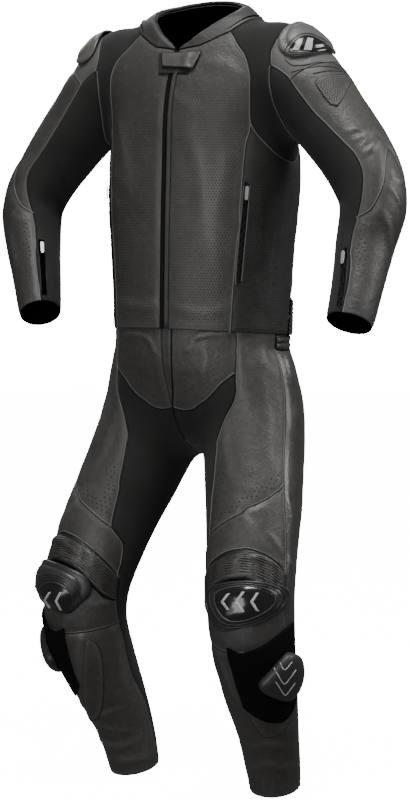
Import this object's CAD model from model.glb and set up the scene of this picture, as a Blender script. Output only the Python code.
"""The looks of a two-piece race suit: leather, stretch cloth, hard caps, zips, pleats and seams."""

import math

import bmesh
import bpy
import numpy as np
from mathutils import Matrix, Vector, noise
from mathutils.bvhtree import BVHTree
from mathutils.kdtree import KDTree


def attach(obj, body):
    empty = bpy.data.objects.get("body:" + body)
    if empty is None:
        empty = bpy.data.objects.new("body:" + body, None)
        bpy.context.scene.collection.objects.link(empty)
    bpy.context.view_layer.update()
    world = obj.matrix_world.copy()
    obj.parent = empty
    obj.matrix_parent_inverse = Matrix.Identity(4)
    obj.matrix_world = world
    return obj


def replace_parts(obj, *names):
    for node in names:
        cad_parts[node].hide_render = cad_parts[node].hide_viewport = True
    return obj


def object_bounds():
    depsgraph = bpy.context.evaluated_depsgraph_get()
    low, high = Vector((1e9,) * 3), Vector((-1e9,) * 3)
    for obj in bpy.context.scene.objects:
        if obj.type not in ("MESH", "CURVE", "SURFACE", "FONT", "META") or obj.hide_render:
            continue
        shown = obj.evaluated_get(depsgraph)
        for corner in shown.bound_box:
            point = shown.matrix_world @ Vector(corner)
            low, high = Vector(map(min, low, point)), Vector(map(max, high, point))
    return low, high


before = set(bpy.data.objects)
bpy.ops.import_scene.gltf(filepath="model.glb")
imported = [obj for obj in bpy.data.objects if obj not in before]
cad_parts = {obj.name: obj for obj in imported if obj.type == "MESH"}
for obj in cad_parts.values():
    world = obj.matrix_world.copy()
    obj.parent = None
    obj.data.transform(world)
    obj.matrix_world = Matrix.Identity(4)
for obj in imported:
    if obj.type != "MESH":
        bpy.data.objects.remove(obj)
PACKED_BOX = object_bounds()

bl_info = {
    "name": "Race suit",
    "version": (1, 0, 0),
    "blender": (4, 5, 0),
    "location": "3D View > Sidebar > Suit",
    "description": "Dresses the packed race suit in leather, stretch cloth, caps, zips and seams",
    "category": "Object",
}

SIDES = ("left", "right")

# The frame that the suit is looked at in: turn and lift of the view in degrees, the point it
# looks at, its distance in metres, and its size in picture points.
VIEW_TURN, VIEW_LIFT = 32.0, 5.0
VIEW_POINT = Vector((0.0024, 0.0015, -0.68))
VIEW_DISTANCE = 4.5
VIEW_SIZE = (410, 800)
POINTS_PER_METRE = 540.0

# ------------------------------------------------------------------------- how it is put together

# Panel: its finish, whether it has the finer net that its folds need, and its wall in metres.
JACKET_PANELS = {
    "jacket_front": ("perforated", True, 0.0016),
    "jacket_side": ("flank", True, 0.0014),
    "jacket_back": ("perforated", False, 0.0016),
    "jacket_pleats": ("pleat", False, 0.0012),
    "shoulder_stretch": ("stretch", False, 0.0012),
    "shoulder_cap": ("cap", True, 0.0016),
    "sleeve_upper": ("leather", True, 0.0016),
    "sleeve_forearm": ("forearm", True, 0.0014),
    "sleeve_inner": ("stretch", False, 0.0012),
}
TROUSER_PANELS = {
    "crotch_front": ("leather", True, 0.0016),
    "thigh": ("thigh", True, 0.0016),
    "hip_pleats": ("pleat", False, 0.0012),
    "hip_side": ("gloss", True, 0.0014),
    "seat": ("leather", False, 0.0014),
    "inner_stretch": ("stretch", False, 0.0012),
    "knee_top": ("leather", True, 0.0014),
    "knee_pleats": ("pleat", False, 0.0012),
    "knee_base": ("leather", False, 0.0014),
    "shin": ("leather", True, 0.0016),
    "calf": ("leather", False, 0.0014),
}
# A pleated panel: which of its smooth sides faces the wearer, and how high its ribs stand.
RIBS = {"jacket_pleats": (0, 0.0046), "hip_pleats": (1, 0.0034), "knee_pleats": (0, 0.0034)}
PLEAT_WALL = 0.0024
# How far crown and unevenness show on a finish, against leather.
SOFTNESS = {"pleat": 0.0, "stretch": 0.5}
# Panels whose outer side is the second largest, because they bend inward more than outward.
SECOND_SIDE = {"shoulder_stretch": 1}
LINING_DEPTH, LINING_WALL = 0.0046, 0.0008
SIDE_TURN, ZIP_TURN = 50, 60                # the sharpest turn within one side, in degrees
MERGE = 0.0009              # points of two panels this close are one seam point
ROLL_REACH, ROLL_RISE = 0.0010, 0.0005      # the ring at a panel's edge, and how it stands up
LEAST_FLAT = 0.011          # the least side that a flat size states
# A panel that fills less of its box than the first states a box that it fills by the second.
LEAST_FILL, BENT_FILL = 0.32, 0.5
LEAST_SHARE = 0.31          # the least share of its box that a stated area has
TINY = 1e-9                 # keeps a division by a length from failing

# What lies on a garment: finish, slot, height over the garment, and wall, in metres.
LAID = {
    "centre_zip": ("tape", "zip", 0.0002, 0.0008),
    "pocket_zip": ("tape", "zip", 0.0008, 0.0009),
    "cuff_zip": ("tape", "zip", 0.0008, 0.0009),
    "neck_placket": ("stretch", "stretch", 0.0004, 0.0012),
    "neck_tab": ("pale", "leather", 0.0036, 0.0020),
    "fly": ("dark", "leather", 0.0006, 0.0016),
    "puck_field": ("loop", "loop", 0.0006, 0.0014),
}
# Hard shells: finish, height over the garment, and wall, in metres.
SHELLS = {
    "shoulder_shell": ("cap", 0.0008, 0.0018),
    "knee_shell": ("frame", 0.0008, 0.0020),
    "puck": ("rubber", 0.0018, 0.0025),
}
# Pieces cut to an outline: height over what they lie on and wall, in metres, finish and slot.
CUT = {
    "shoulder_face": (0.0002, 0.0008, "cap_shell", "gloss"),
    "shoulder_bar": (0.0010, 0.0006, "mark", "gloss"),
    "knee_face": (0.0003, 0.0010, "cap_shell", "gloss"),
    "knee_bar": (0.0013, 0.0005, "mark", "gloss"),
    "sleeve_inset": (0.0004, 0.0012, "inset", "leather"),
    "shin_tongue": (0.0002, 0.0012, "leather", "leather"),
}
# The ridges round a hard cap: the sizes of their rings against the cap's face, and their radius.
SHOULDER_RIDGES = ((1.02, 1.22), 0.0012)
KNEE_RIDGES = ((1.17, 1.31, 1.45), 0.0017)
LIP_RISE, LIP_RADIUS = 0.0010, 0.0022       # the rim of a knee cap's face
FOLD_RADIUS, SLIDER_LINE_RADIUS = 0.0011, 0.0010
STRIP_RISE = 0.0004         # the middle of a round strip, over what it lies on
LINE_STEP = 0.004           # from one point to the next of a line laid on a surface

COLLAR_WALL = 0.0030
LAID_ROUNDS, COLLAR_ROUNDS = 2, 3           # how often a laid piece's or the collar's net is halved
# The collar's soft roll and folded edge: radius, how far inside its rim, and how far below it.
COLLAR_ROLL, COLLAR_EDGE = (0.0028, 0.0022, 0.0032), (0.0009, -0.0004, 0.0080)
# The band inside the neck: how far inside the collar it hangs, from how far up, how far down.
FACING_INSET, FACING_START, FACING_DROP, FACING_WALL = 0.0036, 0.006, 0.034, 0.0010

# A zip's teeth: the size of one, its rounded edge, its height on the tape, and the pitch. The rows
# stand this far each side of the middle.
TOOTH_SIZE, TOOTH_EDGE, TOOTH_LIFT, TOOTH_PITCH = (0.0030, 0.0011, 0.0012), 0.0003, 0.0006, 0.0021
CENTRE_ROWS, SIDE_ROWS = 0.0013, 0.0011
# The welts beside a zip: how far off its middle they lie, and their finish.
WELTS = {"pocket": (0.0062, "piping"), "cuff": (0.0058, "dark")}
WELT_RADIUS, WELT_STEP = 0.0011, 0.005
FLAP_WIDTH, FLAP_WALL, FLAP_LIFT, FLAP_SHIFT = 0.010, 0.0014, 0.0030, 0.0105
BAND_STEPS = 4              # rows of faces across a flap or band

HEM_STITCHES = 0.009        # from a hem to its stitches
STITCH_WIDTH, STITCH_HEIGHT, STITCH_RISE = 0.0007, 0.0006, 0.0002

# The holes in leather: pitch and radius, in metres.
BODY_HOLES, LIMB_HOLES, INSET_HOLES = (0.0056, 0.0010), (0.0092, 0.0013), (0.0050, 0.0010)
ROW_RATIO = 1.732           # the pitch up a staggered pattern of holes against the pitch across
SEAM_BLACK, HOLE_BLACK = (0.004, 0.004, 0.004), (0.003, 0.003, 0.003)

# The lights: metres back, right and up from the middle of the view, and the size of each.
LIGHTS = {
    "key": (1.4, 0.1, 3.2, 1.3),
    "fill": (2.7, -1.3, -0.2, 1.6),
    "back": (-2.2, -0.5, 1.9, 1.4),
    "edge": (0.5, 2.2, 1.2, 0.9),
}
FLOOR_RADIUS, FLOOR_DROP, FLOOR_GLOW = 9.0, 0.0012, 19.0

# Folds pressed into the panels: points of the view that the fold runs through, its half width and
# its height in metres, and whether the other side of the suit has its like.
JACKET_FOLDS = (
    (((345, 133), (354, 129), (363, 130)), 0.006, 0.0022, False),
    (((352, 141), (362, 137), (371, 130)), 0.006, 0.0018, False),
    (((362, 155), (371, 149), (379, 141)), 0.007, 0.0030, False),
    (((359, 149), (366, 142), (370, 133)), 0.006, 0.0020, False),
    (((388, 186), (395, 194), (400, 207)), 0.006, 0.0026, False),
    (((392, 177), (398, 181), (403, 183)), 0.006, 0.0024, False),
    (((384, 168), (394, 171), (404, 172)), 0.007, 0.0020, False),
    (((379, 208), (388, 226), (391, 252)), 0.010, 0.0024, False),
    (((338, 224), (352, 227), (368, 226)), 0.008, 0.0014, False),
    (((333, 196), (340, 204), (346, 214)), 0.008, 0.0022, False),
    (((333, 206), (338, 216), (343, 228)), 0.007, 0.0018, False),
    (((52, 172), (59, 184), (67, 197)), 0.006, 0.0030, False),
    (((56, 168), (64, 181), (70, 193)), 0.006, -0.0026, False),
    (((53, 203), (58, 210), (63, 220)), 0.007, 0.0028, False),
    (((30, 158), (24, 165), (20, 176)), 0.008, 0.0024, False),
    (((10, 192), (6, 200), (3, 208)), 0.008, 0.0026, False),
    (((12, 214), (18, 218), (26, 220)), 0.008, 0.0016, False),
    (((10, 232), (14, 250), (18, 268)), 0.010, 0.0020, False),
    (((120, 120), (126, 150), (130, 190)), 0.018, 0.0022, False),
    (((190, 130), (205, 175), (208, 240)), 0.020, 0.0024, False),
    (((225, 150), (218, 200), (214, 262)), 0.016, 0.0020, False),
    (((262, 190), (258, 240), (256, 300)), 0.012, 0.0022, False),
    (((276, 200), (272, 250), (268, 310)), 0.012, 0.0018, False),
    (((120, 300), (140, 306), (158, 303)), 0.012, 0.0016, False),
    (((172, 306), (205, 311), (232, 306)), 0.012, 0.0018, False),
    (((170, 90), (182, 100), (197, 104)), 0.012, 0.0014, False),
    (((210, 60), (228, 66), (243, 80)), 0.016, 0.0018, False),
)
TROUSER_FOLDS = (
    (((146, 334), (151, 342), (156, 354)), 0.006, 0.0026, False),
    (((125, 333), (140, 334), (149, 339)), 0.006, 0.0026, False),
    (((192, 341), (198, 336), (212, 334)), 0.006, 0.0030, False),
    (((184, 351), (189, 348), (193, 344)), 0.005, 0.0020, False),
    (((212, 334), (232, 333), (252, 332)), 0.007, 0.0020, False),
    (((205, 345), (206, 362), (203, 380)), 0.008, 0.0016, False),
    (((242, 350), (250, 400), (254, 450)), 0.018, 0.0024, True),
    (((228, 420), (230, 450), (236, 480)), 0.014, -0.0014, True),
    (((262, 380), (268, 420), (268, 460)), 0.014, 0.0018, True),
    (((232, 500), (246, 508), (262, 506)), 0.014, 0.0016, True),
    (((240, 512), (252, 528), (262, 548)), 0.010, 0.0020, True),
    (((268, 534), (280, 548), (292, 566)), 0.008, 0.0022, True),
    (((286, 494), (290, 510), (292, 530)), 0.008, 0.0022, True),
    (((284, 345), (287, 360), (292, 380)), 0.010, 0.0026, True),
    (((220, 568), (240, 558), (262, 558), (284, 566)), 0.007, 0.0030, True),
    (((214, 640), (224, 668), (238, 700)), 0.008, 0.0022, True),
    (((222, 632), (229, 645), (233, 660)), 0.006, 0.0020, True),
    (((252, 745), (268, 742), (286, 746)), 0.010, 0.0020, True),
    (((250, 766), (270, 762), (292, 768)), 0.010, 0.0022, True),
    (((262, 724), (275, 731), (290, 727)), 0.008, 0.0020, True),
    (((40, 545), (60, 552), (84, 566)), 0.008, 0.0026, False),
    (((92, 552), (100, 590), (104, 606)), 0.008, 0.0018, False),
    (((84, 600), (94, 604), (110, 602)), 0.006, 0.0022, False),
    (((98, 715), (108, 712), (120, 708)), 0.006, 0.0026, False),
    (((98, 722), (110, 728), (126, 730)), 0.006, 0.0024, False),
    (((106, 742), (122, 744), (140, 738)), 0.008, 0.0018, False),
    (((110, 756), (126, 760), (148, 756)), 0.008, 0.0022, False),
    (((84, 640), (86, 668), (84, 706)), 0.008, 0.0016, False),
    (((112, 620), (120, 650), (126, 690)), 0.010, 0.0020, False),
)

# Outlines and lines of the pieces that are laid on, in points of the view.
SHOULDER_FACE = (
    (288, 53), (291, 46), (298, 38), (307, 34.5), (318, 38.5), (330, 47), (338, 57), (312, 52),
)
SHOULDER_BARS = {
    "left_a": ((292, 50.5), (298, 40.5), (303, 38.2), (299, 50.5)),
    "left_b": ((303.5, 50.5), (307.5, 38), (313, 39), (311.5, 50.5)),
}
SHOULDER_FOLDS = (
    ((286, 60), (292, 66), (305, 65), (320, 62), (334, 63), (343, 69)),
    ((291, 72), (303, 69), (320, 66), (334, 67), (346, 73)),
    ((313, 73.5), (330, 70.5), (349, 72.5)),
)
SLEEVE_INSET = (
    (313.5, 78.5), (330, 75.5), (346, 74.5), (352, 80), (346, 92), (341, 101), (336, 107),
    (329, 104), (320, 92),
)
KNEE_FACES = {
    "left": (
        (213, 598), (219, 590), (232, 587), (248, 586), (268, 589), (277, 597), (274, 606),
        (256, 618), (230, 623), (219, 614),
    ),
    "right": (
        (38, 596), (42, 584), (54, 581), (68, 589), (74, 598), (74, 607), (62, 620), (50, 618),
        (41, 610),
    ),
}
# A chevron: its tip, how far its arms reach across and up, and how thick they are.
KNEE_CHEVRONS = {
    "left": (((221, 602), 6, 8, 3), ((235, 602), 7, 10, 3), ((250, 602), 6, 9, 3)),
    "right": (((44, 600), 5, 8, 2.5), ((55, 601), 5, 9, 2.5)),
}
SLIDER_LINES = (
    ((279, 660), (284, 672), (292, 662)),
    ((274, 668), (284, 686), (296, 670)),
    ((276, 682), (285, 697), (295, 683)),
)
SHIN_TONGUES = {
    "left": (
        (240, 694), (248, 714), (256, 728), (265, 738), (275, 737), (286, 728), (293, 712),
        (296, 696),
    ),
    "right": (
        (84, 640), (94, 640), (102, 652), (104, 680), (103, 704), (99, 718), (92, 721), (86, 712),
        (82, 690),
    ),
}


# ----------------------------------------------------------------------------------- settings

def colour(name, description, default):
    """A colour setting."""
    return bpy.props.FloatVectorProperty(
        name=name, description=description, default=default, subtype="COLOR", size=3, min=0, max=1
    )


def length(name, description, default):
    """A length setting, in metres."""
    return bpy.props.FloatProperty(
        name=name, description=description, default=default, min=0, unit="LENGTH", precision=4
    )


def factor(name, description, default, top=1.0):
    """A plain number setting."""
    return bpy.props.FloatProperty(
        name=name, description=description, default=default, min=0, max=top
    )


class SuitColours(bpy.types.PropertyGroup):
    """The colours of the suit's materials."""

    leather: colour("Leather", "Main leather", (0.033, 0.031, 0.0278))
    worn: colour("Worn leather", "Leather where it is rubbed", (0.085, 0.083, 0.078))
    side: colour("Side leather", "Browner leather of the sides", (0.026, 0.024, 0.021))
    stretch: colour("Stretch", "Stretch cloth", (0.0118, 0.0116, 0.0111))
    lining: colour("Lining", "Inside of every panel", (0.0015, 0.0015, 0.0015))
    piping: colour("Piping", "Folded edges along the seams", (0.082, 0.080, 0.075))
    thread: colour("Thread", "Stitches", (0.055, 0.054, 0.050))
    cap: colour("Cap", "Glossy hard caps", (0.006, 0.006, 0.006))
    mark: colour("Bars", "Light bars on the hard caps", (0.300, 0.300, 0.290))
    rubber: colour("Rubber", "Frames and sliders", (0.018, 0.018, 0.018))
    loop: colour("Loop", "Loop fields under the sliders", (0.003, 0.003, 0.003))
    metal: colour("Metal", "Pulls and zip sliders", (0.520, 0.520, 0.530))


class SuitSizes(bpy.types.PropertyGroup):
    """The sizes of the suit's sewing and surface."""

    piping: length("Piping radius", "Radius of the raised folded edge", 0.0012)
    piping_off: length("Piping offset", "From the seam to the middle of the piping", 0.0022)
    groove: length("Seam depth", "How deep a seam sits", 0.0014)
    groove_width: length("Seam reach", "How far from a seam the dip reaches", 0.0060)
    crown: length("Crown", "How far a panel stands up between its seams", 0.0016)
    stitch: length("Stitch", "Length of one stitch", 0.0030)
    pitch: length("Stitch pitch", "From one stitch to the next", 0.0045)
    stitch_off: length("Stitch offset", "From the seam to the stitches", 0.0052)
    grain: length("Grain", "Size of the leather's pebbles", 0.0016)
    undulation: length("Undulation", "Height of the broad unevenness of the hide", 0.0012)
    folds: factor("Folds", "Strength of the pressed folds", 1.05, 3.0)


class SuitStage(bpy.types.PropertyGroup):
    """The light and the floor."""

    floor: colour("Floor", "The pale floor", (0.80, 0.80, 0.80))
    key: factor("Key light", "Power of the large front light, in watts", 128.0, 2000.0)
    back: factor("Back light", "Power of the light behind and above the suit, in watts", 30.0, 2000.0)
    fill: factor("Fill light", "Power of the light at the other side, in watts", 44.0, 2000.0)
    edge: factor("Edge light", "Power of the light above the suit's left side, in watts", 34.0, 2000.0)
    world: factor("Surroundings", "Strength of the light from all round", 0.14, 5.0)
    backdrop: factor("Backdrop", "Brightness of the white behind the suit", 18.0, 40.0)


# ------------------------------------------------------------------------------------ materials

class Value:
    """A value in a material. Arithmetic on it adds the nodes that work it out."""

    def __init__(self, paint, socket):
        self.paint, self.socket = paint, socket

    def maths(self, operation, *inputs):
        return self.paint.node("ShaderNodeMath", {"operation": operation}, dict(enumerate(inputs)))

    def __add__(self, other):
        return self.maths("ADD", self, other)

    def __sub__(self, other):
        return self.maths("SUBTRACT", self, other)

    def __rsub__(self, other):
        return self.maths("SUBTRACT", other, self)

    def __mul__(self, other):
        return self.maths("MULTIPLY", self, other)

    def __truediv__(self, other):
        return self.maths("DIVIDE", self, other)

    __radd__, __rmul__ = __add__, __mul__

    def ramp(self, low, high):
        """0 below low, 1 above high, smooth between."""
        return self.paint.node(
            "ShaderNodeMapRange", {"interpolation_type": "SMOOTHSTEP"},
            {"Value": self, "From Min": low, "From Max": high},
        )


class Paint:
    """One material, built round its shader."""

    def __init__(self, name, fixed):
        self.material = bpy.data.materials.new(name)
        self.material.use_nodes = True
        self.tree = self.material.node_tree
        self.shader = self.tree.nodes["Principled BSDF"]
        for socket, value in fixed.items():
            self.shader.inputs[socket].default_value = value

    def node(self, kind, settings=None, inputs=None, output=0):
        """Any node: its settings first, then the values or links of its sockets."""
        made = self.tree.nodes.new(kind)
        for key, value in (settings or {}).items():
            setattr(made, key, value)
        for key, value in (inputs or {}).items():
            if isinstance(value, Value):
                self.tree.links.new(value.socket, made.inputs[key])
            else:
                made.inputs[key].default_value = value
        return Value(self, made.outputs[output])

    def cloth(self):
        """The panel's own flat coordinates, in metres."""
        return self.node("ShaderNodeUVMap", {"uv_map": "cloth"})

    def place(self):
        """The place on the suit, in metres."""
        return self.node("ShaderNodeTexCoord", output="Object")

    def attribute(self, name):
        return self.node("ShaderNodeAttribute", {"attribute_name": name}, output="Fac")

    def noise(self, where, size, detail=2.0, distortion=0.0):
        return self.node(
            "ShaderNodeTexNoise", None,
            {"Vector": where, "Scale": 1 / size, "Detail": detail, "Distortion": distortion},
        )

    def pebbles(self, where, size):
        return self.node("ShaderNodeTexVoronoi", None, {"Vector": where, "Scale": 1 / size})

    def mixed(self, share, first, second):
        """A colour between two colours."""
        first, second = (c if isinstance(c, Value) else (*c, 1) for c in (first, second))
        return self.node(
            "ShaderNodeMix", {"data_type": "RGBA"}, {0: share, 6: first, 7: second}, 2
        )

    def link(self, socket, value):
        self.tree.links.new(value.socket, self.shader.inputs[socket])

    def bump(self, height):
        """Raises the surface by a height in metres."""
        made = self.node("ShaderNodeBump", None, {"Height": height, "Strength": 1, "Distance": 1})
        self.link("Normal", made)


def split(paint, vector):
    """The three coordinates of a vector."""
    made = paint.tree.nodes.new("ShaderNodeSeparateXYZ")
    paint.tree.links.new(vector.socket, made.inputs[0])
    return [Value(paint, made.outputs[i]) for i in range(3)]


def in_step(value):
    """Where a value lies between two whole numbers, from -0.5 to 0.5."""
    return value.maths("FRACT", value) - 0.5


def hole_rows(paint, where, pitch, radius):
    """1 inside the holes of a staggered pattern, 0 elsewhere."""
    across, along, _ = split(paint, where)
    rows = []
    for shift in (0.0, 0.5):
        u = in_step(across / pitch + shift)
        v = in_step(along / (pitch * ROW_RATIO) + shift) * ROW_RATIO
        rows.append((u * u + v * v) * (pitch * pitch))
    near = rows[0].maths("MINIMUM", rows[0], rows[1])
    return 1 - near.ramp((radius * 0.6) ** 2, (radius * 1.3) ** 2)


def leather(name, base, rough=0.46, holes=None, zone=None, coat=0.0, lighter=0.0, ribbed=False):
    """Grained leather, paler where it is rubbed and darker in its seams. Its holes have a pitch,
    a radius and a zone that they keep to."""
    colours, sizes = bpy.context.scene.suit_colours, bpy.context.scene.suit_sizes
    paint = Paint(name, {"Specular IOR Level": 0.5, "Coat Weight": coat, "Coat Roughness": 0.28})
    cloth, place = paint.cloth(), paint.place()
    seam, bend = paint.attribute("seam"), paint.attribute("bend")
    hide = paint.noise(cloth, 0.011, 4.0, 0.6)
    cloud = paint.noise(place, 0.16, 3.0)
    grain = paint.pebbles(cloth, sizes.grain)
    creases = paint.noise(cloth, 0.020, 5.0, 2.4)
    worn = (1 - seam.ramp(0.002, 0.014)) * 0.26 + bend * 0.34 + hide.ramp(0.45, 0.80) * 0.26
    worn = worn + cloud.ramp(0.42, 0.72) * 0.22 + lighter
    tone = paint.mixed(worn, base, tuple(colours.worn))
    tone = paint.mixed((1 - seam.ramp(0.0004, 0.0022)) * 0.85, tone, SEAM_BLACK)
    if ribbed:
        rib = paint.attribute("rib")
        tone = paint.mixed((1 - rib.ramp(0.15, 0.70)) * 0.9, tone, HOLE_BLACK)
    height = hide * 0.00034 + grain * 0.00022 + creases.ramp(0.30, 0.70) * 0.00026
    dull = rough + hide * 0.10 - bend * 0.08
    if holes:
        hole = hole_rows(paint, cloth, *holes) * zone(paint, seam, place)
        tone = paint.mixed(hole * 0.9, tone, HOLE_BLACK)
        height = height - hole * 0.0006
        dull = dull + hole * 0.3
    paint.link("Base Color", tone)
    paint.link("Roughness", dull)
    paint.bump(height)
    return paint.material


def knit(name, base, pitch=0.0016, shine=0.22):
    """Matt stretch cloth with fine ribs."""
    paint = Paint(name, {"Specular IOR Level": shine, "Sheen Weight": shine / 4, "Sheen Roughness": 0.5})
    cloth, place = paint.cloth(), paint.place()
    across, along, _ = split(paint, cloth)
    rib = across.maths("SINE", across * (2 * math.pi / pitch))
    loops = along.maths("SINE", along * (2 * math.pi / pitch * 1.3))
    cloud = paint.noise(place, 0.09, 3.0)
    fuzz = paint.noise(cloth, 0.003, 3.0)
    seam = paint.attribute("seam")
    shade = cloud.ramp(0.35, 0.75) * 0.45 + fuzz * 0.25 + rib * 0.08
    tone = paint.mixed(shade, base, tuple(min(1, 2.1 * c) for c in base))
    tone = paint.mixed((1 - seam.ramp(0.0006, 0.003)) * 0.8, tone, HOLE_BLACK)
    paint.link("Base Color", tone)
    paint.link("Roughness", 0.72 + fuzz * 0.2)
    paint.bump(rib * 0.00007 + loops * 0.00005 + fuzz * 0.0002)
    return paint.material


def plain(name, base, rough, grit=0.0002, fixed=None, size=0.004):
    """A moulded or spun material with a fine uneven surface."""
    paint = Paint(name, {"Specular IOR Level": 0.5, **(fixed or {})})
    place = paint.place()
    fine, broad = paint.noise(place, size, 3.0), paint.noise(place, size * 12, 2.0)
    tone = paint.mixed(fine * 0.3 + broad * 0.4, base, tuple(min(1, 1.8 * c) for c in base))
    paint.link("Base Color", tone)
    paint.link("Roughness", rough + fine * 0.12 - broad * 0.05)
    paint.bump(fine * grit)
    return paint.material


def body_holes(paint, seam, place):
    """Holes over the whole panel, below the chest and clear of the seams."""
    height = split(paint, place)[2]
    return seam.ramp(0.012, 0.018) * (1 - height.ramp(-0.14, -0.08))


def inset_holes(_paint, seam, _place):
    """Holes over the whole patch, clear of its edge."""
    return seam.ramp(0.0030, 0.0045)


def seam_holes(bottom, top, start):
    """Holes between two heights, in a strip beside the seams. Each edge fades from one value to
    another."""
    def zone(paint, seam, place):
        height = split(paint, place)[2]
        level = height.ramp(*bottom) * (1 - height.ramp(*top))
        return level * seam.ramp(*start) * (1 - seam.ramp(0.026, 0.028))

    return zone


def times(share, base):
    """A colour made darker or lighter."""
    return tuple(share * c for c in base)


def make_materials():
    """Every material, by the finish that it is for."""
    colours = bpy.context.scene.suit_colours
    base, side = tuple(colours.leather), tuple(colours.side)
    thigh_holes = seam_holes((-0.895, -0.887), (-0.795, -0.787), (0.008, 0.010))
    forearm_holes = seam_holes((-0.425, -0.418), (-0.352, -0.344), (0.010, 0.012))
    spun, dull = {"Specular IOR Level": 0.12}, {"Specular IOR Level": 0.1}
    glossy = {"Coat Weight": 0.35, "Coat Roughness": 0.12}
    return {
        "leather": leather("grained_leather", base),
        "perforated": leather("perforated_leather", base, holes=BODY_HOLES, zone=body_holes),
        "flank": leather(
            "flank_leather", times(0.40, side), 0.58, BODY_HOLES, body_holes, lighter=-0.35
        ),
        "forearm": leather(
            "forearm_leather", times(0.85, base),
            holes=LIMB_HOLES, zone=forearm_holes, lighter=-0.08,
        ),
        "thigh": leather("thigh_leather", base, holes=LIMB_HOLES, zone=thigh_holes),
        "cap": leather("shoulder_leather", times(2.4, base), 0.40, lighter=0.70),
        "collar": leather("collar_leather", times(0.8, base), 0.54, lighter=-0.25),
        "inset": leather("inset_leather", base, 0.50, INSET_HOLES, inset_holes, lighter=-0.10),
        "gloss": leather("glossy_leather", side, 0.34, coat=0.35),
        "pleat": leather("pleat_leather", side, 0.42, lighter=0.10, ribbed=True),
        "pale": leather("tab_leather", base, 0.42, lighter=0.30),
        "dark": leather("dark_leather", times(0.5, base), 0.5),
        "stretch": knit("stretch_cloth", tuple(colours.stretch)),
        "lining": knit("lining_mesh", tuple(colours.lining), 0.003, 0.0),
        "loop": plain("loop_field", tuple(colours.loop), 0.92, 0.0009, dull, 0.0012),
        "tape": plain("zip_tape", (0.0026, 0.0026, 0.0026), 0.88, 0.0003, spun, 0.0012),
        "piping": plain("piping_leather", tuple(colours.piping), 0.5, 0.00015),
        "thread": plain("thread", tuple(colours.thread), 0.6, 0.0001, size=0.001),
        "cap_shell": plain("gloss_cap", tuple(colours.cap), 0.16, 0.00003, glossy),
        "mark": plain("cap_bars", tuple(colours.mark), 0.34, 0.00004),
        "rubber": plain("moulded_rubber", tuple(colours.rubber), 0.46, 0.00012),
        "frame": plain("shell_frame", (0.016, 0.016, 0.0155), 0.38, 0.00010),
        "metal": plain("dark_metal", tuple(colours.metal), 0.36, 0.00003, {"Metallic": 0.8}),
        "tooth": plain(
            "zip_tooth", (0.0065, 0.0065, 0.0065), 0.62, 0.00002, {"Specular IOR Level": 0.2}
        ),
    }


MATERIALS = {}


# ---------------------------------------------------------------------------------------- nets

def eye():
    """Where the view is taken from, and its directions back, right and up."""
    turn, lift = math.radians(VIEW_TURN), math.radians(VIEW_LIFT)
    back = Vector((math.sin(turn) * math.cos(lift), -math.cos(turn) * math.cos(lift), math.sin(lift)))
    right = Vector((math.cos(turn), math.sin(turn), 0))
    return VIEW_POINT + back * VIEW_DISTANCE, back, right, back.cross(right)


def ray(across, down):
    """The eye, and the direction from it through a point of the view."""
    place, back, right, up = eye()
    reach = POINTS_PER_METRE * VIEW_DISTANCE
    side, rise = across - VIEW_SIZE[0] / 2, VIEW_SIZE[1] / 2 - down
    return place, (right * side / reach + up * rise / reach - back).normalized()


def unit(rows):
    """Rows of vectors, each made one long."""
    return rows / np.maximum(np.linalg.norm(rows, axis=1, keepdims=True), TINY)


def evened(line, rounds):
    """A line of points, evened out between its ends."""
    for _ in range(rounds):
        line[1:-1] = (line[:-2] + 2 * line[1:-1] + line[2:]) / 4
    return line


def push(net, verts, rise):
    """Moves points of a net along their normals, by one height or by one for each."""
    rises = rise if np.ndim(rise) else [rise] * len(verts)
    for vert, normal, up in [(v, v.normal.copy(), r) for v, r in zip(verts, rises)]:
        vert.co += normal * up
    net.normal_update()


def kind_of(node):
    """A node's name without its side."""
    return node.removesuffix("_left").removesuffix("_right")


def flat_sides(net, turn):
    """The faces of a net in groups that meet without a sharp edge, the largest group first."""
    for face in net.faces:
        face.tag = False
    groups = []
    for seed in net.faces:
        if seed.tag:
            continue
        seed.tag, stack, group = True, [seed], []
        while stack:
            face = stack.pop()
            group.append(face)
            for edge in face.edges:
                for other in edge.link_faces:
                    if not other.tag and face.normal.angle(other.normal, 0) < turn:
                        other.tag = True
                        stack.append(other)
        groups.append(group)
    return sorted(groups, key=lambda group: -sum(face.calc_area() for face in group))


def whole_net(node):
    """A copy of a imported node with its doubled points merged."""
    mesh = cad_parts[node].data.copy()
    for name in [a.name for a in mesh.attributes if a.domain == "CORNER"]:
        if name in mesh.attributes and name not in (".corner_vert", ".corner_edge"):
            mesh.attributes.remove(mesh.attributes[name])
    net = bmesh.new()
    net.from_mesh(mesh)
    bpy.data.meshes.remove(mesh)
    bmesh.ops.remove_doubles(net, verts=net.verts, dist=1e-6)
    net.normal_update()
    return net


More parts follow.
